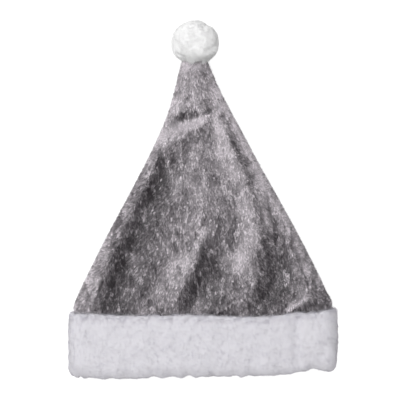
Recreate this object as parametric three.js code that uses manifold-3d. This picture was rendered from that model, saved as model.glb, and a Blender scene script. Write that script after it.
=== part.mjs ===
// A plush santa hat lying flat: two crown panels sewn together at the sides, a doubled plush cuff
// round the head opening, and a pompom sewn to the tip.
// Millimetres. X runs across the hat, Y from the cuff's mouth to the tip, Z up from the surface.
import * as THREE from "three";
import { mergeVertices } from "three/addons/utils/BufferGeometryUtils.js";
import Module from "manifold-3d";

const wasm = await Module();
wasm.setup();

// Driving dimensions
const HAT_LENGTH = 398; // from the cuff's mouth to the top of the pompom
const CUFF_WIDTH = 300; // outside, as it lies
const CUFF_LOFT = 36; // height of the cuff's upper face above the surface
const CUFF_WALL = 11; // two layers of plush
const CUFF_WALL_BELOW = 8; // the same two layers, pressed by the hat's own weight
const CUFF_TUCK = 18; // how far the crown reaches into the cuff
const CUFF_HEIGHT = 70; // along Y
const PANEL_WALL = 3; // plush of the crown, backing and pile
const SEWN_GAP = 0.3; // between pieces that are sewn to each other
const POMPOM_WIDTH = 53;
const POMPOM_LENGTH = 51; // along Y
const POMPOM_HEIGHT = 51; // before it is pressed flat below
const POMPOM_ACROSS = -9; // X of its middle: the tip leans to the left

// Soft rolls and presses
const FRONT_ROLL = 24; // width over which the front panel rounds down to the side seam
const BACK_ROLL = 12; // width over which the back panel rounds up to it
const CUFF_PRESSED = 1; // how far the cuff is flattened where it rests
const POMPOM_PRESSED = 2.5; // and the pompom

// Places along the hat, as distances from the mouth
const CUFF_EDGE = CUFF_HEIGHT; // the sewn edge between cuff and crown
const TUCK_END = CUFF_EDGE - CUFF_TUCK;
const TIP_END = 349;
const MOUTH_Y = -HAT_LENGTH / 2;

// The crown inside the cuff keeps the sewing gap to the cuff's inner faces.
const TUCK_HALF = CUFF_WIDTH / 2 - CUFF_WALL - SEWN_GAP;
const TUCK_CREST = CUFF_LOFT - CUFF_WALL - SEWN_GAP;
const TUCK_LIFT = CUFF_WALL_BELOW + SEWN_GAP;
const TUCK_SEAM = (TUCK_CREST + TUCK_LIFT) / 2;

// Cross-sections of the crown: distance from the mouth, reach to the left and right seam, height of
// the front's plain crest, height of the side seams, and height of the back panel off the surface.
const CROWN_SECTIONS = [
  { from: TUCK_END, left: TUCK_HALF, right: TUCK_HALF, crest: TUCK_CREST, seam: TUCK_SEAM, lift: TUCK_LIFT },
  { from: 62, left: TUCK_HALF, right: TUCK_HALF, crest: TUCK_CREST, seam: TUCK_SEAM, lift: TUCK_LIFT },
  { from: 66, left: 139.8, right: 139.8, crest: 25.6, seam: 15.8, lift: 8 },
  { from: 70, left: 143, right: 143, crest: 28.4, seam: 15, lift: 7.5 },
  { from: 73, left: 144.3, right: 144.3, crest: 29.4, seam: 14, lift: 6.5 },
  { from: 78, left: 144.6, right: 144.6, crest: 29.6, seam: 12.5, lift: 4.5 },
  { from: 110, left: 132, right: 132, crest: 28, seam: 10, lift: 0 },
  { from: 155, left: 110, right: 110, crest: 26, seam: 9, lift: 0 },
  { from: 199, left: 86.5, right: 86, crest: 25, seam: 9, lift: 0 },
  { from: 243, left: 63.5, right: 61.5, crest: 23.5, seam: 9, lift: 0 },
  { from: 277, left: 47.5, right: 43.5, crest: 22, seam: 9, lift: 0 },
  { from: 299, left: 39, right: 31.5, crest: 21.5, seam: 10, lift: 1.5 },
  { from: 327, left: 31, right: 17, crest: 25, seam: 14, lift: 6 },
  { from: TIP_END, left: 25.5, right: 7.5, crest: 31, seam: 18, lift: 11 },
];

// Folds of the front panel. Each runs along a bow from its start past its bend to its end, as X and
// Y, opens over a share of its length, and rises (or, below zero, dips) at its middle line, fading out
// over its reach to either side.
const FOLDS = {
  "left roll": { start: [-50, 58], bend: [-83, -11], end: [-124, -116], opens: 0.15, rise: 4, reach: 11 },
  "left valley": { start: [-31, 62], bend: [-70, -29], end: [-101, -122], opens: 0.2, rise: -8, reach: 13 },
  "left belly": { start: [-30, 30], bend: [-60, -40], end: [-76, -112], opens: 0.3, rise: 2, reach: 24 },
  "middle ridge": { start: [2, -20], bend: [6, -66], end: [-38, -124], opens: 0.6, rise: 5, reach: 11 },
  "middle valley": { start: [27, -16], bend: [23, -70], end: [-20, -124], opens: 0.8, rise: -7, reach: 14 },
  "right ridge": { start: [18, 104], bend: [80, -11], end: [50, -122], opens: 0.3, rise: 6, reach: 13 },
  "right valley": { start: [34, 88], bend: [109, -42], end: [68, -124], opens: 0.7, rise: -7, reach: 12 },
  "right roll": { start: [62, 40], bend: [98, -35], end: [120, -108], opens: 0.3, rise: 3, reach: 10 },
  "corner ridge": { start: [86, -124], bend: [100, -112], end: [124, -102], opens: 0.2, rise: 4, reach: 9 },
  "tip crease": { start: [-44, 87], bend: [-20, 87], end: [0, 92], opens: 0.2, rise: -4, reach: 7 },
  "tip ridge": { start: [-50, 54], bend: [-22, 78], end: [10, 93], opens: 0.2, rise: 2.2, reach: 11 },
};
const FOLD_FADE = 0.14; // share of a fold's length over which it fades at its end
const FOLD_STEPS = 24; // chords that follow a fold's bow
const FOLDS_OPEN = { from: CUFF_EDGE - 4, to: CUFF_EDGE + 14 }; // where the folds come out of the cuff
const WAVE_END = CUFF_EDGE + 60; // where the wave of the cuff's sewn edge has died out in the crown

// The cuff's sewn edge and its mouth, as distances from the mouth's lowest point.
const CUFF_EDGES = [
  { across: -150, sewn: 71.5, mouth: 3 },
  { across: -126, sewn: 72, mouth: 1 },
  { across: -85, sewn: 70, mouth: 0 },
  { across: -59, sewn: 70, mouth: 1.5 },
  { across: 0, sewn: 70.5, mouth: 2.5 },
  { across: 41, sewn: 68.5, mouth: 3 },
  { across: 78, sewn: 69.5, mouth: 4 },
  { across: 105, sewn: 73.5, mouth: 7 },
  { across: 122, sewn: 73, mouth: 11 },
  { across: 137, sewn: 76, mouth: 8.5 },
  { across: 150, sewn: 76, mouth: 10 },
];
const CUFF_FULLNESS = 3; // exponent of the cuff's section: 2 is an ellipse, more is fuller
// Soft lumps in the cuff's outer face: their height, their spacing round the cuff and from mouth to
// sewn edge, and how far each of the two waves is bent by the other
const CUFF_LUMPS = { height: 0.9, round: 31, along: 34, bendRound: 1.6, bendAlong: 0.5 };
const LUMPS_FULL = 3; // height above the surface where the lumps are whole: they fade out towards it
const CUFF_JOIN = { across: 104, depth: 1.6, reach: 7 }; // the seam that closes the cuff's loop
const LIP_DROOP = { depth: 4.5, reach: 15 }; // how far the mouth's upper lip sinks, and from how far back

// Facets. Both panels have the same steps along the hat, so that their seams run side by side.
// Crowding draws the steps across a panel towards its seams, from 0, even, to 1.
const CROWN_STEPS = 27;
const FRONT_GRID = { across: 38, along: CROWN_STEPS, crowding: 0.45 };
const BACK_GRID = { across: 12, along: CROWN_STEPS, crowding: 0.9 };
const CUFF_RUN_STEPS = 40; // along each straight run of the cuff's loop
const CUFF_END_STEPS = 8; // round each end of the loop
const CUFF_FACE_STEPS = 8; // from the mouth to the sewn edge, on each face

const { abs, cos, exp, max, min, PI, sin, sqrt } = Math;

// Eased step from 0 at a to 1 at b
function ease(a, b, value) {
  const t = min(1, max(0, (value - a) / (b - a)));
  return t * t * (3 - 2 * t);
}

// Reads a column of a table at any value of its key, along a smooth curve that never overshoots a row.
function readColumn(table, key, column, value) {
  const last = table.length - 1;
  const at = min(table[last][key], max(table[0][key], value));
  let i = 0;
  while (i < last - 1 && at > table[i + 1][key]) i++;
  const slope = (k) => (table[k + 1][column] - table[k][column]) / (table[k + 1][key] - table[k][key]);
  const tangent = (k) => {
    const before = slope(max(0, k - 1));
    const after = slope(min(last - 1, k));
    return before * after > 0 ? (2 * before * after) / (before + after) : 0;
  };
  const span = table[i + 1][key] - table[i][key];
  const t = (at - table[i][key]) / span;
  const rest = 1 - t;
  return (
    table[i][column] * rest * rest * (1 + 2 * t) +
    table[i + 1][column] * t * t * (3 - 2 * t) +
    span * t * rest * (rest * tangent(i) - t * tangent(i + 1))
  );
}

// Crown

// A fold's middle line as chords of its bow
function foldLine(fold) {
  const bow = new THREE.QuadraticBezierCurve(
    new THREE.Vector2(...fold.start),
    new THREE.Vector2(...fold.bend),
    new THREE.Vector2(...fold.end),
  );
  return bow.getPoints(FOLD_STEPS);
}
const FOLD_LINES = Object.values(FOLDS).map((fold) => ({ fold, line: foldLine(fold) }));

// Height that one fold adds at (x, y): a bell across the nearest point of its line, faded at its ends.
function foldHeight(fold, line, x, y) {
  let nearest = Infinity;
  let share = 0;
  for (let i = 0; i < FOLD_STEPS; i++) {
    const a = line[i];
    const chordX = line[i + 1].x - a.x;
    const chordY = line[i + 1].y - a.y;
    const along = ((x - a.x) * chordX + (y - a.y) * chordY) / (chordX * chordX + chordY * chordY);
    const t = min(1, max(0, along));
    const gapX = x - a.x - t * chordX;
    const gapY = y - a.y - t * chordY;
    const distance = gapX * gapX + gapY * gapY;
    if (distance < nearest) {
      nearest = distance;
      share = (i + t) / FOLD_STEPS;
    }
  }
  const fade = ease(0, fold.opens, share) * ease(0, FOLD_FADE, 1 - share);
  return fold.rise * exp(-nearest / (fold.reach * fold.reach)) * fade;
}

// Height that all the folds add at (x, y)
function foldsAt(x, y) {
  return FOLD_LINES.reduce((sum, { fold, line }) => sum + foldHeight(fold, line, x, y), 0);
}

// A quarter ellipse: 0 at a seam, 1 once the distance from it is the roll's width
function roll(distance, width) {
  const short = 1 - min(1, distance / width);
  return sqrt(1 - short * short);
}

// Where a panel's point lies: u runs from the left seam to the right, v from the tuck to the tip.
// The sewn edge's own wave is carried into the crown and dies out above the cuff.
function crownPlace(u, v, crowding) {
  const from = TUCK_END + v * (TIP_END - TUCK_END);
  const at = (column) => readColumn(CROWN_SECTIONS, "from", column, from);
  const [left, right] = [at("left"), at("right")];
  const spread = 2 * u - 1;
  const shareAcross = (1 - crowding) * spread + crowding * sin((spread * PI) / 2);
  const half = (left + right) / 2;
  const x = (right - left) / 2 + half * shareAcross;
  const wave = readColumn(CUFF_EDGES, "across", "sewn", x) - CUFF_EDGE;
  const y = MOUTH_Y + from + wave * (1 - ease(CUFF_EDGE, WAVE_END, from));
  return { from, at, x, y, half, fromSeam: half * (1 - abs(shareAcross)) };
}

// The front panel's outer face: a crest that rolls down to the side seams, with the folds on it
function frontPoint(u, v) {
  const { from, at, x, y, half, fromSeam } = crownPlace(u, v, FRONT_GRID.crowding);
  const rounded = roll(fromSeam, min(FRONT_ROLL, half));
  const free = ease(FOLDS_OPEN.from, FOLDS_OPEN.to, from) * ease(0, FRONT_ROLL, fromSeam);
  const seam = at("seam") + SEWN_GAP / 2;
  return new THREE.Vector3(x, y, seam + (at("crest") - seam) * rounded + foldsAt(x, y) * free);
}

// The back panel's outer face: flat where it lies, curling up to the side seams
function backPoint(u, v) {
  const { at, x, y, half, fromSeam } = crownPlace(u, v, BACK_GRID.crowding);
  const rounded = roll(fromSeam, min(BACK_ROLL, half));
  const seam = at("seam") - SEWN_GAP / 2;
  return new THREE.Vector3(x, y, seam + (at("lift") - seam) * rounded);
}

// A closed solid from its points and the four-cornered faces between them
function gridSolid(points, quads) {
  const geometry = new THREE.BufferGeometry();
  geometry.setAttribute("position", new THREE.Float32BufferAttribute(points.flatMap((p) => p.toArray()), 3));
  geometry.setIndex(quads.flatMap(([a, b, c, d]) => [a, b, c, a, c, d]));
  geometry.computeVertexNormals();
  return geometry;
}

// A panel of even thickness: an outer face over (u, v), the same face moved inwards along its normals,
// and four narrow edges. outward is +1 where the face turns up and -1 where it turns down.
function panelSolid(outerPoint, grid, outward) {
  const { across, along } = grid;
  const STEP = 1e-3; // in u and v, for the slopes
  const outer = [];
  const inner = [];
  for (let j = 0; j <= along; j++) {
    for (let i = 0; i <= across; i++) {
      const [u, v] = [i / across, j / along];
      const point = outerPoint(u, v);
      const slope = (du, dv) =>
        outerPoint(min(1, u + du), min(1, v + dv)).sub(outerPoint(max(0, u - du), max(0, v - dv)));
      const normal = slope(STEP, 0).cross(slope(0, STEP)).multiplyScalar(outward);
      if (i === 0 || i === across) normal.z = 0; // a panel's edges are cut square
      if (j === 0 || j === along) normal.y = 0;
      outer.push(point);
      inner.push(point.clone().addScaledVector(normal.normalize(), -PANEL_WALL));
    }
  }
  const row = across + 1;
  const count = outer.length;
  const quads = [];
  const addQuad = (a, b, c, d) => quads.push(outward > 0 ? [a, b, c, d] : [d, c, b, a]);
  for (let j = 0; j < along; j++) {
    for (let i = 0; i < across; i++) {
      const a = j * row + i;
      addQuad(a, a + 1, a + 1 + row, a + row);
      addQuad(count + a, count + a + row, count + a + 1 + row, count + a + 1);
    }
    const [left, right] = [j * row, j * row + across];
    addQuad(left, left + row, count + left + row, count + left);
    addQuad(right + row, right, count + right, count + right + row);
  }
  for (let i = 0; i < across; i++) {
    const top = along * row + i;
    addQuad(i + 1, i, count + i, count + i + 1);
    addQuad(top, top + 1, count + top + 1, count + top);
  }
  return gridSolid([...outer, ...inner], quads);
}

// Cuff

// An upright oval's outline with straight runs and round ends, and the place of a step round it
function ovalPoint(halfWidth, low, high, step) {
  const radius = (high - low) / 2;
  const run = halfWidth - radius;
  const middle = (high + low) / 2;
  const round = CUFF_RUN_STEPS + CUFF_END_STEPS;
  const side = step < round ? 1 : -1; // over the top to the right, then underneath to the left
  const within = step % round;
  if (within <= CUFF_RUN_STEPS) {
    const share = (2 * within) / CUFF_RUN_STEPS - 1;
    return new THREE.Vector3(side * run * share, 0, middle + side * radius);
  }
  const angle = ((within - CUFF_RUN_STEPS) / CUFF_END_STEPS) * PI;
  return new THREE.Vector3(side * (run + radius * sin(angle)), 0, middle + side * radius * cos(angle));
}

// Soft lumps and the loop's own seam, as height added to the cuff's outer face at (x, y)
function cuffRelief(x, y, upper) {
  const { height, round, along, bendRound, bendAlong } = CUFF_LUMPS;
  const turnX = (2 * PI * x) / round;
  const turnY = (2 * PI * y) / along;
  const lumps = sin(turnX + bendRound * sin(turnY)) * cos(turnY + bendAlong * sin(turnX));
  const fromJoin = (x - CUFF_JOIN.across) / CUFF_JOIN.reach;
  const join = upper ? CUFF_JOIN.depth * exp(-fromJoin * fromJoin) : 0;
  return height * lumps - join;
}

// A full oval section carried round the flat loop: the outer face from the mouth to the sewn edge,
// then the inner face back to the mouth
function cuffSolid() {
  const steps = 2 * (CUFF_RUN_STEPS + CUFF_END_STEPS);
  const ring = 2 * CUFF_FACE_STEPS;
  const inside = [CUFF_WIDTH / 2 - CUFF_WALL, CUFF_WALL_BELOW, CUFF_LOFT - CUFF_WALL];
  const points = [];
  for (let step = 0; step < steps; step++) {
    const outer = ovalPoint(CUFF_WIDTH / 2, -CUFF_PRESSED, CUFF_LOFT, step);
    const inner = ovalPoint(...inside, step);
    const middle = outer.clone().add(inner).multiplyScalar(0.5);
    const halfWall = outer.clone().sub(inner).multiplyScalar(0.5);
    const mouth = readColumn(CUFF_EDGES, "across", "mouth", middle.x);
    const sewn = readColumn(CUFF_EDGES, "across", "sewn", middle.x);
    const upper = middle.z > CUFF_LOFT / 2;
    for (let k = 0; k < ring; k++) {
      const along = -cos((k * PI) / CUFF_FACE_STEPS); // -1 at the mouth, 1 at the sewn edge, and back
      const face = k <= CUFF_FACE_STEPS ? 1 : -1;
      const full = (1 - abs(along) ** CUFF_FULLNESS) ** (1 / CUFF_FULLNESS);
      const y = MOUTH_Y + (mouth + sewn) / 2 + ((sewn - mouth) / 2) * along;
      const point = middle.clone().addScaledVector(halfWall, face * full).setY(y);
      const out = halfWall.clone().normalize();
      if (face > 0) {
        point.addScaledVector(out, cuffRelief(point.x, y, upper) * full * ease(0, LUMPS_FULL, point.z));
      }
      const fromMouth = ((sewn - mouth) * (1 + along)) / 2;
      const sunk = max(0, 1 - fromMouth / LIP_DROOP.reach) ** 2;
      point.addScaledVector(out, -LIP_DROOP.depth * max(0, out.z) * sunk);
      point.z = max(0, point.z); // flat where it lies
      points.push(point);
    }
  }
  const quads = [];
  for (let step = 0; step < steps; step++) {
    for (let k = 0; k < ring; k++) {
      const next = ((step + 1) % steps) * ring;
      const up = (k + 1) % ring;
      quads.push([step * ring + k, next + k, next + up, step * ring + up]);
    }
  }
  return gridSolid(points, quads);
}

// Pompom

const POMPOM_LOCKS = 40;
const LOCK_SIDES = 6;
const LOCK_ROOT = 0.55; // where a lock starts, as a share of the pompom's radius
const LOCK_WIDTH = 0.33; // half its width, likewise
const LOCK_ENDS = [0.97, 1.02]; // shortest and longest reach of the locks, likewise
const LOCK_BEAT = 2.4; // radians from one lock's place between those two to the next one's
// Half outline of a lock, as shares of half its width and of its length
const LOCK_PROFILE = [
  { out: 0, up: 0 },
  { out: 0.8, up: 0 },
  { out: 1, up: 0.7 },
  { out: 0.66, up: 0.92 },
  { out: 0, up: 1 },
];
const HEAD_SHARE = 0.86; // the stuffed ball under the locks
const GOLDEN_TURN = PI * (3 - sqrt(5));

const MERGE_GAP = 1e-4; // vertices closer than this are one

function solidOf(geometry) {
  const bare = geometry.clone();
  bare.deleteAttribute("normal");
  bare.deleteAttribute("uv");
  const merged = mergeVertices(bare, MERGE_GAP);
  return new wasm.Manifold(
    new wasm.Mesh({
      numProp: 3,
      vertProperties: new Float32Array(merged.attributes.position.array),
      triVerts: new Uint32Array(merged.index.array),
    }),
  );
}

function geometryOf(solid) {
  const mesh = solid.getMesh();
  const geometry = new THREE.BufferGeometry();
  geometry.setAttribute("position", new THREE.BufferAttribute(new Float32Array(mesh.vertProperties), 3));
  geometry.setIndex(new THREE.BufferAttribute(new Uint32Array(mesh.triVerts), 1));
  geometry.computeVertexNormals();
  return geometry;
}

// One lock of pile on a ball of radius 1: a stubby turned form with a rounded end, along a direction
function lockGeometry(direction, reach) {
  const length = reach - LOCK_ROOT;
  const place = ({ out, up }) => new THREE.Vector2(LOCK_WIDTH * out, LOCK_ROOT + length * up);
  const turn = new THREE.Quaternion().setFromUnitVectors(new THREE.Vector3(0, 1, 0), direction);
  return new THREE.LatheGeometry(LOCK_PROFILE.map(place), LOCK_SIDES).applyQuaternion(turn);
}

// A stuffed ball with locks of pile all round it, fused into one body, flat below and at the tip's seam
function pompomSolid(centre) {
  let body = solidOf(new THREE.IcosahedronGeometry(HEAD_SHARE, 2));
  for (let i = 0; i < POMPOM_LOCKS; i++) {
    const height = 1 - (2 * (i + 0.5)) / POMPOM_LOCKS;
    const girth = sqrt(1 - height * height);
    const turn = i * GOLDEN_TURN;
    const direction = new THREE.Vector3(girth * cos(turn), height, girth * sin(turn));
    const [shortest, longest] = LOCK_ENDS;
    const reach = shortest + (longest - shortest) * (0.5 + 0.5 * sin(i * LOCK_BEAT));
    body = body.add(solidOf(lockGeometry(direction, reach)));
  }
  const sized = geometryOf(body).scale(POMPOM_WIDTH / 2, POMPOM_LENGTH / 2, POMPOM_HEIGHT / 2);
  const size = POMPOM_WIDTH * 2;
  const floor = new THREE.BoxGeometry(size, size, size).translate(0, 0, -centre.z - size / 2);
  const seam = new THREE.BoxGeometry(size, size, size);
  seam.translate(0, MOUTH_Y + TIP_END + SEWN_GAP - centre.y - size / 2, 0);
  return geometryOf(solidOf(sized).subtract(solidOf(floor)).subtract(solidOf(seam)));
}

// Assembly

const greyPlush = new THREE.MeshStandardMaterial({ color: 0x8b898b, roughness: 0.85, metalness: 0 });
const whitePlush = new THREE.MeshStandardMaterial({ color: 0xeceaee, roughness: 0.95, metalness: 0 });

function piece(name, geometry, material) {
  const mesh = new THREE.Mesh(geometry, material);
  mesh.name = name;
  return mesh;
}

const hat = new THREE.Group();
const crown = new THREE.Group();
crown.add(piece("crown_front", panelSolid(frontPoint, FRONT_GRID, 1), greyPlush));
crown.add(piece("crown_back", panelSolid(backPoint, BACK_GRID, -1), greyPlush));
hat.add(crown);
hat.add(piece("cuff", cuffSolid(), whitePlush));

const pompomCentre = new THREE.Vector3(
  POMPOM_ACROSS,
  HAT_LENGTH / 2 - POMPOM_LENGTH / 2,
  POMPOM_HEIGHT / 2 - POMPOM_PRESSED,
);
const pompom = piece("pompom", pompomSolid(pompomCentre), whitePlush);
pompom.position.copy(pompomCentre);
hat.add(pompom);

export default hat;
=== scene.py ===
"""A plush santa hat lying flat: two crown panels of silver-grey plush, a doubled white cuff and a pompom.

Shapes are worked out in millimetres, as whole arrays, and scaled to metres when they become meshes.
X runs across the hat, Y from the cuff's mouth to the tip, and Z up from the floor.
"""
from math import pi

import bpy
import numpy as np
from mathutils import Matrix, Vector


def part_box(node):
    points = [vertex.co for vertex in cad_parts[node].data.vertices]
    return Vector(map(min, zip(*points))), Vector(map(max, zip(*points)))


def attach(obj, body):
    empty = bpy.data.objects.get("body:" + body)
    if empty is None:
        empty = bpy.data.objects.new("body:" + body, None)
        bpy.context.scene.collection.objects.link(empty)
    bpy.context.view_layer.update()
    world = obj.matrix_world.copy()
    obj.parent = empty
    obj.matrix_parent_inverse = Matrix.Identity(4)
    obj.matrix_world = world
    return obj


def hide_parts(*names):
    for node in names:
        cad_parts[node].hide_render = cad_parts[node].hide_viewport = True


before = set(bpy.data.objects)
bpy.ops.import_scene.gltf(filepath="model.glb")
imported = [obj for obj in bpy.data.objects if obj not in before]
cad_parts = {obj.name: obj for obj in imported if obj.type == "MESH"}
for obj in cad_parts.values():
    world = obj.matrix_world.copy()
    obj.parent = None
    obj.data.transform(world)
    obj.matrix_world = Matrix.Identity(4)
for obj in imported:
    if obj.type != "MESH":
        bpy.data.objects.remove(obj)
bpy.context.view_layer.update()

MM = 0.001

# A seed for each thing that chance moves
SEEDS = dict(
    crown_front=22, crown_back=21, crown_lay=23, crown_tone_with_painted_light=25, crown_swells=31,
    cuff=23, cuff_swells=20, cuff_waver=32, cuff_lay=28, cuff_tones=27,
    pompom=24, pompom_swells=33, pompom_lay=29, pompom_tones=30,
)


def box_mm(node):
    """Lowest and highest corner of a CAD node, in millimetres."""
    low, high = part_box(node)
    return np.array(low) / MM, np.array(high) / MM


# Places that the frame gives
MOUTH_Y = box_mm("cuff")[0][1]
TIP_Y = box_mm("crown_front")[1][1]
POMPOM_HIGH = box_mm("pompom")[1]

# Sizes of the cuff's loop. Its round underside would reach below the floor by the depth that it is pressed
CUFF_HALF = 150.0
CUFF_LOFT = 36.0
CUFF_WALL = 11.0
CUFF_WALL_BELOW = 8.0
CUFF_PRESSED = 1.0

# The gap between sewn pieces, the thickness of a panel's knitted ground, and the width over which the
# front rolls down and the back curls up to a side seam
SEWN_GAP = 0.3
BACKING = 1.2
FRONT_ROLL = 24.0
BACK_ROLL = 12.0

# Places along the hat, as distances from the mouth: the cuff's sewn edge, the end of the crown's tuck
# inside it, the tip, the end of the neck inside the pompom, and where the crown no longer follows the
# wave of the sewn edge
CUFF_EDGE = 70.0
TUCK_END = 52.0
TIP_END = TIP_Y - MOUTH_Y
NECK_END = TIP_END + 5.5
WAVE_END = CUFF_EDGE + 60.0

# Where the crown's folds, its fine creases and its pile come out of the cuff
FOLDS_OPEN = (CUFF_EDGE - 4, CUFF_EDGE + 14)
CREASES_OPEN = (CUFF_EDGE - 4, CUFF_EDGE + 4)
PILE_OPEN = (CUFF_EDGE - 3, CUFF_EDGE - 2)

# Least height over the floor of a padded ground and of a strand, and the height over which the cuff's
# relief comes in
GROUND_FLOOR = 0.3
STRAND_FLOOR = 0.05
RELIEF_HEIGHT = 3.0

# Points of each surface's grid, across or round the hat and then along it or round the section
FRONT_GRID = (241, 261)
BACK_GRID = (121, 141)
CUFF_GRID = (521, 121)
POMPOM_GRID = (129, 81)

# Steps that measure the cuff's section
SECTION_STEPS = 720

# The crown's section inside the cuff
TUCK_HALF = CUFF_HALF - CUFF_WALL - SEWN_GAP
TUCK_CREST = CUFF_LOFT - CUFF_WALL - SEWN_GAP
TUCK_LIFT = CUFF_WALL_BELOW + SEWN_GAP
TUCK_SEAM = (TUCK_CREST + TUCK_LIFT) / 2

# Cross-sections of the crown: distance from the mouth, reach to each seam, height of the front's plain
# crest, of the side seams, and of the back panel off the floor
CROWN_SECTIONS = [
    dict(along=TUCK_END, left=TUCK_HALF, right=TUCK_HALF, crest=TUCK_CREST, seam=TUCK_SEAM, lift=TUCK_LIFT),
    dict(along=62, left=TUCK_HALF, right=TUCK_HALF, crest=TUCK_CREST, seam=TUCK_SEAM, lift=TUCK_LIFT),
    dict(along=66, left=139.8, right=139.8, crest=25.6, seam=15.8, lift=8),
    dict(along=70, left=143, right=143, crest=28.4, seam=15, lift=7.5),
    dict(along=73, left=144.3, right=144.3, crest=29.4, seam=14, lift=6.5),
    dict(along=78, left=144.6, right=144.6, crest=29.6, seam=12.5, lift=4.5),
    dict(along=94, left=139.2, right=138, crest=29, seam=10.8, lift=1.3),
    dict(along=110, left=132, right=132, crest=28, seam=10, lift=0),
    dict(along=155, left=110, right=110, crest=26, seam=9, lift=0),
    dict(along=199, left=86.5, right=86, crest=25, seam=9, lift=0),
    dict(along=243, left=63.5, right=61.5, crest=23.5, seam=9, lift=0),
    dict(along=277, left=47.5, right=43.5, crest=22, seam=9, lift=0),
    dict(along=299, left=39, right=31.5, crest=21.5, seam=10, lift=1.5),
    dict(along=327, left=31, right=17, crest=25, seam=14, lift=6),
    dict(along=TIP_END, left=25.5, right=7.5, crest=31, seam=18, lift=11),
    dict(along=NECK_END, left=23.4, right=4.4, crest=31.5, seam=19, lift=14),
]

# Folds of the front panel: each runs along a bow from start past bend to end, as X and Y, opens over a
# share of its length, and rises (or dips) at its middle line, fading out over its reach to either side
FOLDS = [
    dict(name="left roll", start=(-50, 58), bend=(-83, -11), end=(-124, -116), opens=0.15, rise=4, reach=11),
    dict(name="left dip", start=(-31, 62), bend=(-70, -29), end=(-101, -122), opens=0.2, rise=-8, reach=13),
    dict(name="left belly", start=(-30, 30), bend=(-60, -40), end=(-76, -112), opens=0.3, rise=2, reach=24),
    dict(name="middle ridge", start=(2, -20), bend=(6, -66), end=(-38, -124), opens=0.6, rise=5, reach=11),
    dict(name="middle dip", start=(27, -16), bend=(23, -70), end=(-20, -124), opens=0.8, rise=-7, reach=14),
    dict(name="right ridge", start=(18, 104), bend=(80, -11), end=(50, -122), opens=0.3, rise=6, reach=13),
    dict(name="right dip", start=(34, 88), bend=(109, -42), end=(68, -124), opens=0.7, rise=-7, reach=12),
    dict(name="right roll", start=(62, 40), bend=(98, -35), end=(120, -108), opens=0.3, rise=3, reach=10),
    dict(name="corner rise", start=(86, -124), bend=(100, -112), end=(124, -102), opens=0.2, rise=4, reach=9),
    dict(name="tip crease", start=(-44, 87), bend=(-20, 87), end=(0, 92), opens=0.2, rise=-4, reach=7),
    dict(name="tip ridge", start=(-50, 54), bend=(-22, 78), end=(10, 93), opens=0.2, rise=2.2, reach=11),
]

# Fine creases of the same kind with sharper crests, too small for the folds' table
CREASES = [
    dict(name="corner crease", start=(92, -124), bend=(103, -112), end=(120, -106), rise=3, reach=4),
    dict(name="corner rib", start=(80, -119), bend=(91, -108), end=(102, -96), rise=2.4, reach=5),
    dict(name="corner gap", start=(90, -118), bend=(99, -111), end=(107, -101), rise=-2, reach=3),
    dict(name="corner dimple", start=(116, -119), bend=(122, -116), end=(127, -112), rise=-2.5, reach=5),
    dict(name="cuff pucker", start=(16, -124), bend=(27, -117), end=(37, -112), rise=2.4, reach=4),
    dict(name="pucker's dip", start=(30, -110), bend=(37, -120), end=(42, -128), rise=-2.8, reach=4),
    dict(name="foot dip", start=(72, -102), bend=(66, -114), end=(54, -124), rise=-2.5, reach=7),
    dict(name="seam line", start=(94, -22), bend=(112, -58), end=(124, -98), rise=1.5, reach=3.5),
    dict(name="right gutter", start=(22, 100), bend=(34, 74), end=(60, 20), rise=-2.2, reach=6),
    dict(name="valley fork", start=(-16, -92), bend=(-8, -108), end=(-2, -125), rise=-2, reach=6),
    dict(name="belly line", start=(-30, -27), bend=(-18, -32), end=(-6, -38), rise=1.2, reach=3),
    dict(name="tip wrinkle", start=(-6, 94), bend=(6, 96), end=(17, 108), rise=-1, reach=4),
]
CREASE_POWER = 1.4  # sharpness of their crests, where 2 is a round bell
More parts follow.
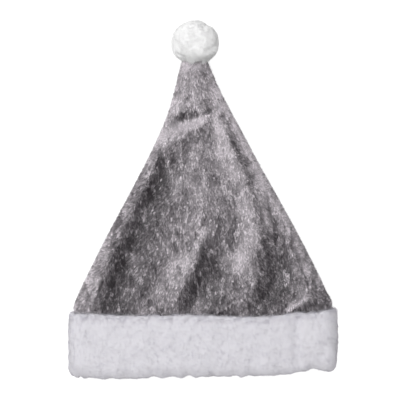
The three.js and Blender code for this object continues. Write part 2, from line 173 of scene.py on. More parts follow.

# Painted highlights, where the change is above 0, and painted shade, where it is below, on the crown's pile,
# as bows like the folds'. The change is in powers of e
PAINTED_LIGHT_MARKS = [
    dict(name="tip shine", start=(-20, 152), bend=(-14, 120), end=(-6, 102), rise=0.18, reach=20),
    dict(name="neck shine", start=(-32, 150), bend=(-11, 144), end=(10, 150), rise=0.4, reach=7),
    dict(name="crease shade", start=(-37, 99), bend=(-24, 87), end=(-6, 97), rise=-0.75, reach=4),
    dict(name="crease line", start=(-12, 95), bend=(6, 95), end=(20, 106), rise=-0.65, reach=2.5),
    dict(name="crease shine", start=(-30, 84), bend=(-10, 90), end=(8, 92), rise=0.4, reach=4),
    dict(name="arch shine", start=(-52, 62), bend=(-26, 80), end=(10, 96), rise=0.5, reach=8),
    dict(name="shoulder shine", start=(16, 114), bend=(19, 80), end=(28, 44), rise=0.85, reach=9),
    dict(name="side shine", start=(22, 52), bend=(38, 12), end=(52, -24), rise=0.32, reach=12),
    dict(name="side glint", start=(50, -28), bend=(43, -50), end=(38, -86), rise=0.5, reach=8),
    dict(name="middle shine", start=(-22, -38), bend=(-40, -72), end=(-54, -126), rise=0.45, reach=9),
    dict(name="rim shine", start=(-28, 142), bend=(-40, 80), end=(-66, 30), rise=0.35, reach=8),
    dict(name="left shade", start=(-32, 74), bend=(-46, 32), end=(-62, -8), rise=-0.5, reach=17),
    dict(name="left side shade", start=(-46, 30), bend=(-64, -16), end=(-86, -60), rise=-1.5, reach=15),
    dict(name="left foot shade", start=(-90, -42), bend=(-100, -80), end=(-108, -128), rise=-1.8, reach=10),
    dict(name="belly shade", start=(-57, -24), bend=(-72, -76), end=(-62, -124), rise=-0.6, reach=14),
    dict(name="middle shade", start=(24, 10), bend=(34, -16), end=(22, -66), rise=-0.6, reach=10),
    dict(name="valley shine", start=(3, -26), bend=(10, -42), end=(10, -60), rise=0.45, reach=8),
    dict(name="flank shade", start=(10, -56), bend=(0, -78), end=(-16, -116), rise=-0.55, reach=11),
    dict(name="foot shade", start=(15, -64), bend=(12, -104), end=(18, -134), rise=-1.2, reach=13),
    dict(name="slope shine", start=(62, -8), bend=(64, -30), end=(62, -54), rise=0.4, reach=7),
    dict(name="right shade", start=(82, -34), bend=(88, -60), end=(66, -122), rise=-0.4, reach=11),
    dict(name="right ridge shade", start=(60, -54), bend=(56, -82), end=(46, -110), rise=-0.35, reach=7),
    dict(name="right side shade", start=(84, -30), bend=(88, -74), end=(98, -112), rise=-0.6, reach=12),
    dict(name="right foot shade", start=(74, -80), bend=(98, -88), end=(126, -98), rise=-0.45, reach=9),
    dict(name="corner shade", start=(112, -82), bend=(130, -96), end=(138, -120), rise=-0.5, reach=9),
    dict(name="corner shine", start=(80, -119), bend=(92, -107), end=(105, -95), rise=0.3, reach=5),
    dict(name="corner glint", start=(92, -124), bend=(103, -113), end=(118, -106), rise=0.9, reach=3),
    dict(name="inner shade", start=(-30, 48), bend=(-44, 4), end=(-70, -78), rise=-0.55, reach=11),
    dict(name="crest shine", start=(-14, 92), bend=(0, 40), end=(-4, -34), rise=0.4, reach=14),
    dict(name="gutter shade", start=(24, 78), bend=(40, 52), end=(58, 22), rise=-0.5, reach=7),
    dict(name="arch shade", start=(-42, 48), bend=(-30, 58), end=(-14, 70), rise=-0.3, reach=7),
    dict(name="foot hollow", start=(52, -128), bend=(72, -116), end=(96, -94), rise=-1.4, reach=9),
    dict(name="dimple shade", start=(110, -106), bend=(120, -114), end=(130, -114), rise=-0.5, reach=6),
    dict(name="belly foot shade", start=(-80, -62), bend=(-86, -98), end=(-94, -138), rise=-0.95, reach=11),
    dict(name="right rim shine", start=(5, 146), bend=(34, 80), end=(106, -52), rise=0.6, reach=7),
    dict(name="seam shine", start=(95, -28), bend=(112, -60), end=(123, -98), rise=0.5, reach=4),
    dict(name="pucker glint", start=(18, -119), bend=(28, -115), end=(36, -118), rise=0.6, reach=3),
    dict(name="belly glint", start=(-30, -27), bend=(-18, -32), end=(-6, -38), rise=0.4, reach=3),
]

# Slow swells of the crown's face, the share of a fold's length over which it fades at its ends, and the
# chords that follow its bow
CROWN_SWELLS = [dict(size=36, height=0.45)]
FOLD_FADE = 0.14
FOLD_STEPS = 24

# The cuff's sewn edge and its mouth, as distances from the mouth's lowest point
CUFF_EDGES = [
    dict(across=-150, sewn=66, mouth=3),
    dict(across=-145, sewn=71.5, mouth=2),
    dict(across=-126, sewn=72, mouth=1),
    dict(across=-85, sewn=70, mouth=0),
    dict(across=-59, sewn=70, mouth=1.5),
    dict(across=0, sewn=70.5, mouth=2.5),
    dict(across=41, sewn=68.5, mouth=3),
    dict(across=78, sewn=69.5, mouth=4),
    dict(across=105, sewn=73.5, mouth=7),
    dict(across=122, sewn=73, mouth=11),
    dict(across=137, sewn=76, mouth=8.5),
    dict(across=145, sewn=76, mouth=9),
    dict(across=150, sewn=68, mouth=11),
]

# The power of the rounded section's outline, how far the plush hangs over the crown past the sewn edge,
# and how far its lip is drawn in at the mouth
CUFF_FULLNESS = 3
CUFF_OVERHANG = 2.4
CUFF_LIP = 1.0

# Creases in the cuff's upper run, and painted shade and a painted highlight on its pile as changes of tone,
# as bows like the folds'
CUFF_CREASES = [
    dict(name="join", start=(105, -122), bend=(101, -150), end=(106, -188), rise=-3, reach=6),
    dict(name="notch", start=(127, -196), bend=(121, -182), end=(112, -168), rise=-1.8, reach=5),
    dict(name="notch fork", start=(128, -196), bend=(131, -180), end=(129, -166), rise=-1.3, reach=5),
    dict(name="pinch", start=(156, -161), bend=(142, -160), end=(126, -158), rise=-1.6, reach=6),
]
CUFF_PAINTED_LIGHT_MARKS = [
    dict(name="join shade", start=(103, -126), bend=(99, -150), end=(104, -184), rise=-0.5, reach=5),
    dict(name="join shine", start=(113, -130), bend=(119, -148), end=(115, -170), rise=0.45, reach=9),
]
CUFF_SWELLS = [dict(size=30, height=0.4), dict(size=9, height=0.2), dict(size=5, height=0.08)]

# A waver of the cuff's mouth, stilled by a share at the sewn edge, and the droop of its upper lip
CUFF_WAVER = dict(size=13, height=0.6, stilled=0.6)
LIP_DROOP = dict(depth=4.5, reach=15)

# Where the plush begins inside the mouth and ends inside the sewn edge, as places round the section,
# and the middle of the inner face
HEM_INSIDE = (-0.16, -0.1)
SEWN_INSIDE = (0.53, 0.57)
INNER_MIDDLE = 0.75

# How much height counts across and along when a round piece is unrolled
SLANT_ACROSS, SLANT_ALONG = 0.8, 0.6

# The pompom's ball
POMPOM_RADII = np.array([26.5, 25.5, 25.5])
POMPOM_ACROSS = -9.0
POMPOM_MIDDLE = np.array([POMPOM_ACROSS, *(POMPOM_HIGH - POMPOM_RADII)[1:]])

# Its creases: the ways to both ends of each from the ball's middle, its depth as a share of the radius,
# and its reach in the same measure
POMPOM_CREASES = [
    dict(name="sewn end", start=(0, -1, 0), end=(0, -0.99, 0.01), depth=0.3, reach=0.58),
    dict(name="notch", start=(0.52, 0.86, -0.2), end=(0.4, 0.62, 0.67), depth=0.075, reach=0.14),
    dict(name="notch run", start=(0.4, 0.62, 0.67), end=(0.12, 0.42, 0.9), depth=0.02, reach=0.12),
    dict(name="right lobe", start=(0.86, 0.44, 0.1), end=(0.72, 0.3, 0.62), depth=-0.03, reach=0.3),
    dict(name="right crease", start=(0.9, -0.08, 0.42), end=(0.56, -0.4, 0.72), depth=0.06, reach=0.13),
    dict(name="left crease", start=(-0.75, -0.55, 0.35), end=(-0.46, -0.7, 0.54), depth=0.1, reach=0.1),
    dict(name="left tuck", start=(-0.7, -0.7, 0.0), end=(-0.42, -0.84, 0.34), depth=0.1, reach=0.1),
    dict(name="hidden crease", start=(-0.5, 0.4, -0.75), end=(0.3, -0.2, -0.93), depth=0.06, reach=0.14),
]
POMPOM_SWELLS = [dict(size=16, height=0.12), dict(size=6, height=0.08)]
POLE_GAP = 0.03  # angle of the ball's open rings from its poles, which triangles close

# Pile of each plush: how high it stands, how deep the ground lies under its outer surface, how wide its
# strands are, how far they lean from upright, the size of the clumps they gather into and how far they
# do, the share of a strand's shading that comes from the form under it, and how far that is turned up,
# as light is scattered inside loose white pile
CROWN_PILE = dict(
    stands=2.0, ground=1.8, width=0.74, lean=0.8, clump=(1.5, 3.2), gather=0.2, form=0.88, loose=0.0
)
CUFF_PILE = dict(
    stands=1.5, ground=0.6, width=0.7, lean=0.75, clump=(3.0, 3.0), gather=0.15, form=0.85, loose=0.15
)
POMPOM_PILE = dict(
    stands=1.8, ground=0.65, width=0.7, lean=0.75, clump=(3.5, 3.5), gather=0.15, form=0.88, loose=2.0
)
STRANDS = dict(crown_front=96000, crown_back=22000, cuff=62000, pompom=30000)

# The share of strands that reach out of the pile, and how much longer they are
STRAY = dict(share=0.06, longer=1.5)

# How far a strand's axis sways, how far its lean strays, the least that a strand rises for its length,
# how evenly the plush is shorn, and how much the strands' widths differ
STRAND_SWAY = 0.08
LEAN_STRAY = 0.12
LEAST_RISE = 0.35
SHORN = (0.82, 1.12)
STRAND_WIDTHS = (0.7, 1.2)

# Places of a strand's root and tip on its map, and the step in tone that keeps its faces open there
ROOT_V, TIP_V = 0.02, 0.98
TONE_STEP = 0.004

# How far a clump's centre strays inside its cell in white plush, and in the crown, where clumps keep to
# columns, and the size of a column, each across and along
CLUMP_STRAY = (0.95, 0.95)
COLUMN_STRAY = (0.4, 0.9)
CROWN_COLUMN = (2.1, 28.0)

# How far the way that the crown's nap lies strays by clump and in a slow drift, and its lean by clump
CROWN_LAY = dict(clump=0.12, drift=0.08, size=60, lean=0.14)

# Where the crown's nap stands up or turns over, with the share of its lean that it loses: at the seams,
# from this share of the half width, and beside the cuff and at the tip, over this distance
SEAM_STAND = dict(start=0.75, loses=0.4)
CUFF_STAND = dict(reach=9, loses=0.4)
TIP_STAND = dict(reach=10, loses=1.3)

# White pile lies about a way that drifts slowly, and single strands stray from it. It is longer at the
# cuff's sewn edge, in shares of the section, and by the pompom's seam, in latitudes
CUFF_LAY = dict(drift=1.1, size=26, strand=0.3)
POMPOM_LAY = dict(drift=1.0, size=30, strand=0.3)
CUFF_FRINGE = dict(longer=1.4, whole=0.02, ends=0.08)
POMPOM_FRINGE = dict(longer=2.4, whole=-0.95, ends=-0.65)

# Height above which the cuff's pile counts as its upper run, and the density of the pile under it
CUFF_TOP = CUFF_LOFT / 3
BELOW_DENSITY = 0.4

# The way across the floor towards the key light, which the crown's painted light and shade follow, and the
# power that turns the eye's even steps of tone into light
PAINTED_LIGHT_WAY = np.array([-0.8, 0.6, 0.0])
EYE = 2.2

# The crown's tone and painted light: the tone where it lies level, how soon a slope counts as turned, and
# the changes in powers of e: a painted highlight on slopes turned towards the key light, painted shade on
# slopes turned from it, and painted light on rims and beside the cuff, with the reach of the last. Slow
# drifts add to it, and darkening levels off at a limit
CROWN_TONE_AND_PAINTED_LIGHT = dict(level=0.39, steep=2.2, shine=0.68, dark=1.25, rim=0.35, by_cuff=0.5, cuff_reach=8)
SLOW_SHADES = [dict(size=40, height=0.1), dict(size=16, height=0.05)]
DARKEST = 1.6

# How bright the panels' ground is on the inside
INSIDE_SHADE = 0.3

# Rims, which get painted light: the sideways slope and the share of the half width over which they come in,
# and Y at the tip
RIM_SLOPE = (0.12, 0.42)
RIM_PLACE = (0.55, 0.7)
RIM_TIP = (95, 115)

# How far tones stray by clump, by column and by strand, in the crown in even steps of what the eye sees,
# where clumps go more often a little down than far up; the few far up are painted glints on shiny fibres.
# In white pile they stray about a level that drifts
CROWN_TONES = dict(clump=0.11, uneven=0.12, column=0.1, strand=0.1, limits=(0.1, 0.99))
CUFF_TONES = dict(level=0.5, drift=0.15, size=12, clump=0.13, strand=0.08)
POMPOM_TONES = dict(level=0.7, drift=0.1, size=10, clump=0.15, strand=0.1)
WHITE_LIMITS = (0.01, 0.98)


# Arithmetic


def ease(a, b, value):
    """Eased step: 0 up to a, 1 from b on, and t * t * (3 - 2t) between."""
    t = np.clip((value - a) / (b - a), 0, 1)
    return t * t * (3 - 2 * t)


def read_column(rows, key, column, value):
    """A table's column at any value of its key: cubic pieces whose slope at each row is the harmonic
    mean of the slopes beside it, so that the curve never overshoots a row."""
    at = np.array([row[key] for row in rows], float)
    to = np.array([row[column] for row in rows], float)
    slope = np.diff(to) / np.diff(at)
    before, after = np.r_[slope[0], slope], np.r_[slope, slope[-1]]
    same_way = before * after > 0
    tangent = np.where(same_way, 2 * before * after / np.where(same_way, before + after, 1), 0)
    value = np.clip(value, at[0], at[-1])
    i = np.clip(np.searchsorted(at, value) - 1, 0, len(at) - 2)
    span = at[i + 1] - at[i]
    t = (value - at[i]) / span
    rest = 1 - t
    ends = to[i] * rest**2 * (1 + 2 * t) + to[i + 1] * t**2 * (3 - 2 * t)
    return ends + span * t * rest * (rest * tangent[i] - t * tangent[i + 1])


def unit(vectors):
    """Vectors scaled to length 1."""
    return vectors / np.maximum(np.linalg.norm(vectors, axis=-1, keepdims=True), 1e-9)


def drift(x, y, size, seed):
    """A slow random swell over (x, y): the sum of nine sine waves of about the given length, each in its
    own direction, scaled to a standard deviation of 1."""
    waves = 9
    shortest, longest = 0.7, 1.4
    rng = np.random.default_rng(seed)
    turn, phase = rng.uniform(0, 2 * pi, (2, waves))
    length = size * rng.uniform(shortest, longest, waves)
    total = 0
    for i in range(waves):
        total = total + np.sin(2 * pi * (x * np.cos(turn[i]) + y * np.sin(turn[i])) / length[i] + phase[i])
    return total / np.sqrt(waves / 2)


def fold_height(fold, x, y, power=2):
    """One fold's height at (x, y): a bell over the distance to the nearest chord of its bow, which is a
    quadratic curve, faded out near both ends. A lower power gives a sharper crest."""
    t = np.linspace(0, 1, FOLD_STEPS + 1)[:, None]
    start, bend, end = (np.array(fold[key], float) for key in ("start", "bend", "end"))
    line = (1 - t) ** 2 * start + 2 * t * (1 - t) * bend + t**2 * end
    nearest = np.full(x.shape, np.inf)
    share = np.zeros(x.shape)
    for i in range(FOLD_STEPS):
        chord = line[i + 1] - line[i]
        along = ((x - line[i, 0]) * chord[0] + (y - line[i, 1]) * chord[1]) / (chord @ chord)
        along = np.clip(along, 0, 1)
        distance = (x - line[i, 0] - along * chord[0]) ** 2 + (y - line[i, 1] - along * chord[1]) ** 2
        closer = distance < nearest
        nearest = np.where(closer, distance, nearest)
        share = np.where(closer, (i + along) / FOLD_STEPS, share)
    fade = ease(0, fold.get("opens", FOLD_FADE), share) * ease(0, FOLD_FADE, 1 - share)
    return fold["rise"] * np.exp(-((nearest / fold["reach"] ** 2) ** (power / 2))) * fade


def swell_height(swells, x, y, seed):
    """Slow uneven swells over (x, y): drifts of each size, times their heights."""
    return sum(swell["height"] * drift(x, y, swell["size"], seed + i) for i, swell in enumerate(swells))


# Crown


def crown_cut(along, roll_width):
    """A panel's row of sizes at a distance along it: its columns, the half width between its seams, the
    width and the length of the quarter ellipse that turns to each seam."""
    at = {column: read_column(CROWN_SECTIONS, "along", column, along) for column in CROWN_SECTIONS[0]}
    half = (at["left"] + at["right"]) / 2
    roll = np.minimum(roll_width, half)
    level = at["crest"] if roll_width == FRONT_ROLL else at["lift"]
    arc = pi / 2 * np.sqrt((roll**2 + (level - at["seam"]) ** 2) / 2)
    return at, half, roll, arc


def crown_place(t, along, roll_width):
    """Where a panel's point lies. t runs from -1 at the left seam to 1 at the right one, evenly along the
    panel's own surface: a flat middle, then a quarter ellipse to the seam."""
    at, half, roll, arc = crown_cut(along, roll_width)
    run = np.abs(t) * (half - roll + arc)
    angle = np.clip((run - half + roll) / arc, 0, 1) * pi / 2
    reach = np.where(run < half - roll, run, half - roll + roll * np.sin(angle))
    x = (at["right"] - at["left"]) / 2 + np.sign(t) * reach
    wave = read_column(CUFF_EDGES, "across", "sewn", x) - CUFF_EDGE
    y = MOUTH_Y + along + wave * (1 - ease(CUFF_EDGE, WAVE_END, along))
    return at, x, y, half - reach, np.cos(angle)


def front_surface(t, along):
    """The front panel's face: a crest that rolls down to the side seams, with the folds on it."""
    at, x, y, from_seam, rounded = crown_place(t, along, FRONT_ROLL)
    open_to_folds = ease(*FOLDS_OPEN, along) * ease(0, FRONT_ROLL, from_seam)
    open_to_creases = ease(*CREASES_OPEN, along) * ease(0, FRONT_ROLL / 2, from_seam)
    seam = at["seam"] + SEWN_GAP / 2
    folds = sum(fold_height(fold, x, y) for fold in FOLDS) * open_to_folds
    creases = sum(fold_height(crease, x, y, CREASE_POWER) for crease in CREASES) * open_to_creases
    swells = swell_height(CROWN_SWELLS, x, y, SEEDS["crown_swells"]) * open_to_creases
    return np.stack([x, y, seam + (at["crest"] - seam) * rounded + folds + creases + swells], -1)


def back_surface(t, along):
    """The back panel's face: flat where it lies, curling up to the side seams. t runs from the right."""
    at, x, y, _, rounded = crown_place(-t, along, BACK_ROLL)
    seam = at["seam"] - SEWN_GAP / 2
    return np.stack([x, y, seam + (at["lift"] - seam) * rounded], -1)


# Cuff

# The outer oval of the cuff's loop: its end radius, each straight run, and its length all round
OUTER_RADIUS = (CUFF_LOFT + CUFF_PRESSED) / 2
OUTER_RUN = 2 * (CUFF_HALF - OUTER_RADIUS)
CUFF_ROUND = 2 * (OUTER_RUN + pi * OUTER_RADIUS)


def oval(half_width, low, high, turn):
    """An upright oval with straight runs and half-round ends. turn goes from 0 at the upper left over the
    top, round the right end and back underneath, evenly along the outer oval."""
    share = 2 * OUTER_RUN / CUFF_ROUND
    radius, middle = (high - low) / 2, (high + low) / 2
    run = half_width - radius
    lap = (turn % 1) * 2
    side = np.where(lap < 1, 1, -1)
    within = lap % 1
    angle = np.clip((within - share) / (1 - share), 0, 1) * pi
    straight = np.clip(within / share, 0, 1) * 2 - 1
    x = side * np.where(within < share, run * straight, run + radius * np.sin(angle))
    z = middle + side * radius * np.cos(angle)
    return np.stack([x, np.zeros_like(x), z], -1)


def fullness(along):
    """How full the cuff's section is, by a superellipse: 1 at its middle and 0 at the mouth, where along is
    -1, and at the sewn edge, where it is 1."""
    return (1 - np.abs(along) ** CUFF_FULLNESS) ** (1 / CUFF_FULLNESS)


def full_section():
    """Even steps along one face of the cuff's full section, from the mouth to the sewn edge: the share of
    the face's length against the place along it, for a wall of the cuff's nominal size."""
    along = -np.cos(np.linspace(0, pi, SECTION_STEPS + 1))
    out = fullness(along) * CUFF_WALL / 2
    length = np.r_[0, np.cumsum(np.hypot(np.diff(along * CUFF_EDGE / 2), np.diff(out)))]
    return length / length[-1], along


SECTION_SHARE, SECTION_ALONG = full_section()


def unrolled(point):
    """A place on a round piece as two numbers, slanted so that its top, sides and underside differ."""
    return point[..., 0] + SLANT_ACROSS * point[..., 2], point[..., 1] - SLANT_ALONG * point[..., 2]


def cuff_relief(point, upper):
    """Height of the cuff's relief: the creases on its upper run, and slow swells all round."""
    creases = sum(fold_height(crease, point[..., 0], point[..., 1]) for crease in CUFF_CREASES)
    return np.where(upper, creases, 0) + swell_height(CUFF_SWELLS, *unrolled(point), SEEDS["cuff_swells"])


def cuff_surface(turn, ring):
    """A full rounded section carried round the flat loop, with its relief on the outer face and its upper
    lip drooping. ring goes from 0 at the mouth over the outer face to 0.5 at the sewn edge, and on to 1
    over the inner face."""
    ring = ring % 1
    along = np.interp(np.where(ring < 0.5, ring * 2, 2 - ring * 2), SECTION_SHARE, SECTION_ALONG)
    face = np.where(ring < 0.5, 1, -1)
    outer = oval(CUFF_HALF, -CUFF_PRESSED, CUFF_LOFT, turn)
    inner = oval(CUFF_HALF - CUFF_WALL, CUFF_WALL_BELOW, CUFF_LOFT - CUFF_WALL, turn)
    middle, half_wall = (outer + inner) / 2, (outer - inner) / 2
    mouth = read_column(CUFF_EDGES, "across", "mouth", middle[..., 0]) + CUFF_LIP
    sewn = read_column(CUFF_EDGES, "across", "sewn", middle[..., 0]) + CUFF_OVERHANG
    waver = CUFF_WAVER["height"] * drift(*unrolled(middle), CUFF_WAVER["size"], SEEDS["cuff_waver"])
    waver = waver * (1 - CUFF_WAVER["stilled"] * ease(-1, 1, along))
    full = fullness(along)
    point = middle + half_wall * (face * full)[..., None]
    point[..., 1] = MOUTH_Y + (mouth + sewn) / 2 + (sewn - mouth) / 2 * along + waver
    relief = cuff_relief(point, middle[..., 2] > CUFF_LOFT / 2)
    relief = np.where(face > 0, relief * full * ease(0, RELIEF_HEIGHT, point[..., 2]), 0)
    out = unit(half_wall)
    from_mouth = (sewn - mouth) * (1 + along) / 2
    by_lip = (1 - from_mouth / LIP_DROOP["reach"]).clip(0) ** 2
    droop = LIP_DROOP["depth"] * np.maximum(out[..., 2], 0) * by_lip
    point = point + out * (relief - droop)[..., None]
    point[..., 2] = np.maximum(point[..., 2], 0)
    return point


def plush_cover(ring):
    """Where the cuff's plush lies: 1 over the outer face and a hem turned in at the mouth, 0 inside."""
    ring = ring % 1
    ring = np.where(ring > INNER_MIDDLE, ring - 1, ring)
    return ease(*HEM_INSIDE, ring) * (1 - ease(*SEWN_INSIDE, ring))


# Pompom


def pompom_surface(longitude, latitude):
    """A ball about the Y axis: longitude goes round it from the top and latitude from the tip's seam to
    the far end. Its creases are bells over the distance to the chord between two directions."""
    girth = np.cos(latitude)
    way = np.stack([girth * np.sin(longitude), np.sin(latitude), girth * np.cos(longitude)], -1)
    size = np.ones(longitude.shape)
    for crease in POMPOM_CREASES:
        start, end = (unit(np.array(crease[key])) for key in ("start", "end"))
        run = end - start
        along = np.clip((way - start) @ run / (run @ run), 0, 1)
        gap = way - start - along[..., None] * run
        size = size - crease["depth"] * np.exp(-(gap**2).sum(-1) / crease["reach"] ** 2)
    point = POMPOM_MIDDLE + POMPOM_RADII * way * size[..., None]
    return point + way * swell_height(POMPOM_SWELLS, *unrolled(point), SEEDS["pompom_swells"])[..., None]


# Meshes


def add_piece(name, mesh, material):
    """Links a finished mesh as a piece of the hat that rides with its body."""
    piece = bpy.data.objects.new(name, mesh)
    bpy.context.scene.collection.objects.link(piece)
    mesh.materials.append(material)
    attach(piece, "root")
    return piece


def mesh_from(name, points, faces):
    """A smooth mesh from an array of points in millimetres and an array of faces with equal corners."""
    mesh = bpy.data.meshes.new(name)
    count, corners = faces.shape
    mesh.vertices.add(len(points))
    mesh.vertices.foreach_set("co", (points * MM).astype(np.float32).ravel())
    mesh.loops.add(count * corners)
    mesh.loops.foreach_set("vertex_index", faces.astype(np.int32).ravel())
    mesh.polygons.add(count)
    mesh.polygons.foreach_set("loop_start", np.arange(count, dtype=np.int32) * corners)
    mesh.polygons.foreach_set("use_smooth", np.ones(count, bool))
    mesh.update(calc_edges=True)
    return mesh


def grid_faces(rows, columns, close_rows=False, close_columns=False):
    """Four-cornered faces of a grid whose points are numbered row by row, joined up where it closes."""
    i = np.arange(rows if close_rows else rows - 1)[:, None]
    j = np.arange(columns if close_columns else columns - 1)[None, :]
    up, right = (i + 1) % rows, (j + 1) % columns
    corners = [i * columns + j, i * columns + right, up * columns + right, up * columns + j]
    return np.stack(np.broadcast_arrays(*corners), -1).reshape(-1, 4)


def sample(surface, a, b):
    """A surface on the grid of its two parameters: its points, the unit ways along its columns and rows
    from the differences between each point's neighbours, and their cross product, the outward normal."""
    a, b = np.meshgrid(*(np.r_[2 * v[0] - v[1], v, 2 * v[-1] - v[-2]] for v in (a, b)))
    points = surface(a, b)
    inside = (slice(1, -1), slice(1, -1))
    way_a = points[1:-1, 2:] - points[1:-1, :-2]
    way_b = points[2:, 1:-1] - points[:-2, 1:-1]
    normal = unit(np.cross(way_a, way_b))
    return dict(
        a=a[inside], b=b[inside], point=points[inside], normal=normal, way_a=unit(way_a), way_b=unit(way_b)
    )


def scatter(skin, density, count, rng):
    """Random places on a sampled surface, as many in each cell as its area times its density asks. Each
    value there is blended from the cell's four corners."""
    point = skin["point"]
    one_way, other_way = point[1:, 1:] - point[:-1, :-1], point[1:, :-1] - point[:-1, 1:]
    area = np.linalg.norm(np.cross(one_way, other_way), axis=-1)
    share = (density[1:, 1:] + density[:-1, :-1] + density[1:, :-1] + density[:-1, 1:]) / 4
    total = np.cumsum((area * share).ravel())
    row, column = np.unravel_index(np.searchsorted(total, rng.random(count) * total[-1]), area.shape)
    u, v = rng.random((2, count))
    places = {}
    for key, values in skin.items():
        shape = (count,) + (1,) * (values.ndim - 2)
        right, up = u.reshape(shape), v.reshape(shape)
        low = values[row, column] * (1 - right) + values[row, column + 1] * right
        high = values[row + 1, column] * (1 - right) + values[row + 1, column + 1] * right
        places[key] = low * (1 - up) + high * up
    for key in ("normal", "way_a", "way_b"):
        places[key] = unit(places[key])
    return places


def grid_clumps(places, across, along, size, rng, stray=CLUMP_STRAY):
    """The clump that each place belongs to, the nearest of jittered centres, one in each cell of a grid:
    its number, how many there are, and the way to its centre over the surface."""
    cell = np.stack([across / size[0], along / size[1]], -1)
    home = np.floor(cell).astype(int)
    low = home.min(0) - 1
    shape = home.max(0) - low + 2
    jitter = 0.5 + rng.uniform(-0.5, 0.5, (*shape, 2)) * stray
    best = np.full(len(cell), np.inf)
    way = np.zeros((len(cell), 2))
    number = np.zeros(len(cell), int)
    for step in np.ndindex(3, 3):
        other = home + np.array(step) - 1
        index = other - low
        gap = (other + jitter[index[:, 0], index[:, 1]] - cell) * np.array(size)
        distance = (gap**2).sum(1)
        closer = distance < best
        best = np.where(closer, distance, best)
        way = np.where(closer[:, None], gap, way)
        number = np.where(closer, index[:, 0] * shape[1] + index[:, 1], number)
    pull = places["way_a"] * way[:, :1] + places["way_b"] * way[:, 1:]
    return number, int(np.prod(shape)), pull


def lay_strands(places, pile, lay, lean, pull, rng):
    """Strands from their roots on the backing. Each leans from upright towards its lay, is drawn to its
    clump, and is sheared where it meets the plush's outer surface, give or take a little. Gives roots,
    unit axes and lengths."""
    count = len(lean)
    normal = places["normal"]
    flat = places["way_a"] * np.cos(lay)[:, None] + places["way_b"] * np.sin(lay)[:, None]
    axes = normal * np.cos(lean)[:, None] + flat * np.sin(lean)[:, None]
    axes = axes + pull * pile["gather"] / pile["stands"] + rng.normal(0, STRAND_SWAY, (count, 3))
    axes = unit(axes)
    rise = np.maximum((axes * normal).sum(1), LEAST_RISE)
    length = pile["stands"] * rng.uniform(*SHORN, count) / rise
    length = length * np.where(rng.random(count) < STRAY["share"], STRAY["longer"], 1)
    return places["point"] - normal * pile["stands"], axes, length


def loosened(normals, pile):
    """Normals turned up as far as the pile is loose."""
    return unit(normals + pile["loose"] * np.array([0, 0, 1]))


def strand_mesh(name, strands, normals, tones, pile, rng):
    """Pile as one mesh. Each strand is a slim closed spike on three corners, shaded partly by the form
    under it. On its map, U is the strand's tone and V runs from root to tip."""
    roots, axes, length = strands
    count = len(roots)
    side = unit(np.cross(axes, rng.normal(size=(count, 3))))
    angle = np.arange(3)[:, None] * 2 * pi / 3
    ring = side[:, None] * np.cos(angle) + np.cross(axes, side)[:, None] * np.sin(angle)
    width = pile["width"] * rng.uniform(*STRAND_WIDTHS, count)
    base = roots[:, None] + ring * width[:, None, None] / 2
    tip = roots + axes * length[:, None]
    points = np.concatenate([base, tip[:, None]], 1).reshape(-1, 3)
    points[:, 2] = np.maximum(points[:, 2], STRAND_FLOOR)
    spike = np.array([[0, 1, 3], [1, 2, 3], [2, 0, 3], [0, 2, 1]])
    faces = (np.arange(count)[:, None, None] * 4 + spike).reshape(-1, 3)
    mesh = mesh_from(name, points, faces)
    own = np.concatenate([ring, axes[:, None]], 1)
    form = loosened(normals, pile)
    shading = unit(form[:, None] * pile["form"] + own * (1 - pile["form"]))
    mesh.normals_split_custom_set_from_vertices(shading.reshape(-1, 3).tolist())
    corner = faces % 4
    tone = np.repeat(tones, 4)[:, None] + np.array([-TONE_STEP, 0, TONE_STEP, 0])[corner]
    up = np.where(corner == 3, TIP_V, ROOT_V)
    layer = mesh.uv_layers.new(name="OFBake")
    layer.data.foreach_set("uv", np.stack([tone, up], -1).astype(np.float32).ravel())
    return mesh


def add_pile(names, sides, strands, normals, tones, pile, material, rng):
    """Adds the strands as one piece for each side: names and the strands each holds."""
    pieces = []
    for name, side in zip(names, sides):
        part = tuple(values[side] for values in strands)
        mesh = strand_mesh(name, part, normals[side], tones[side], pile, rng)
        pieces.append(add_piece(name, mesh, material))
    return pieces


# Materials

# The stretch of a strand, from its root, over which the painted shade at the root gives way
ROOT_REACH = (0.05, 0.5)

# The knit's stitches in millimetres, the strength and depth of its bump, and the scale of its uneven tone
STITCH = 1.6
KNIT_BUMP = dict(strength=0.5, depth=0.4)
KNIT_NOISE = 60

# Finish of the knitted grounds, and the sheen's roughness on all of the plush
GROUND_FINISH = dict(roughness=0.9, sheen=0.1)
SHEEN_ROUGHNESS = 0.4

# Numbers of a Mix node's colour sockets: its two inputs and its output
MIX_FIRST, MIX_SECOND, MIX_RESULT = 6, 7, 2


def node_group(name, inputs, outputs):
    """An empty shader node group with named sockets, and its input and output nodes."""
    group = bpy.data.node_groups.new(name, "ShaderNodeTree")
    for sockets, in_out in ((inputs, "INPUT"), (outputs, "OUTPUT")):
        for socket, kind in sockets:
            group.interface.new_socket(socket, in_out=in_out, socket_type=kind)
    return group, group.nodes.new("NodeGroupInput"), group.nodes.new("NodeGroupOutput")


def math_node(tree, operation, *values):
    """A Math node's result: each value is a socket or a number."""
    node = tree.nodes.new("ShaderNodeMath")
    node.operation = operation
    for socket, value in zip(node.inputs, values):
        if isinstance(value, (int, float)):
            socket.default_value = value
        else:
            tree.links.new(value, socket)
    return node.outputs[0]


def mix_colours(tree, factor, first, second, blend="MIX"):
    """A Mix node's colour of two colour sockets, by a factor, or wholly where there is none."""
    node = tree.nodes.new("ShaderNodeMix")
    node.data_type = "RGBA"
    node.blend_type = blend
    node.inputs["Factor"].default_value = 1
    if factor:
        tree.links.new(factor, node.inputs["Factor"])
    tree.links.new(first, node.inputs[MIX_FIRST])
    tree.links.new(second, node.inputs[MIX_SECOND])
    return node.outputs[MIX_RESULT]


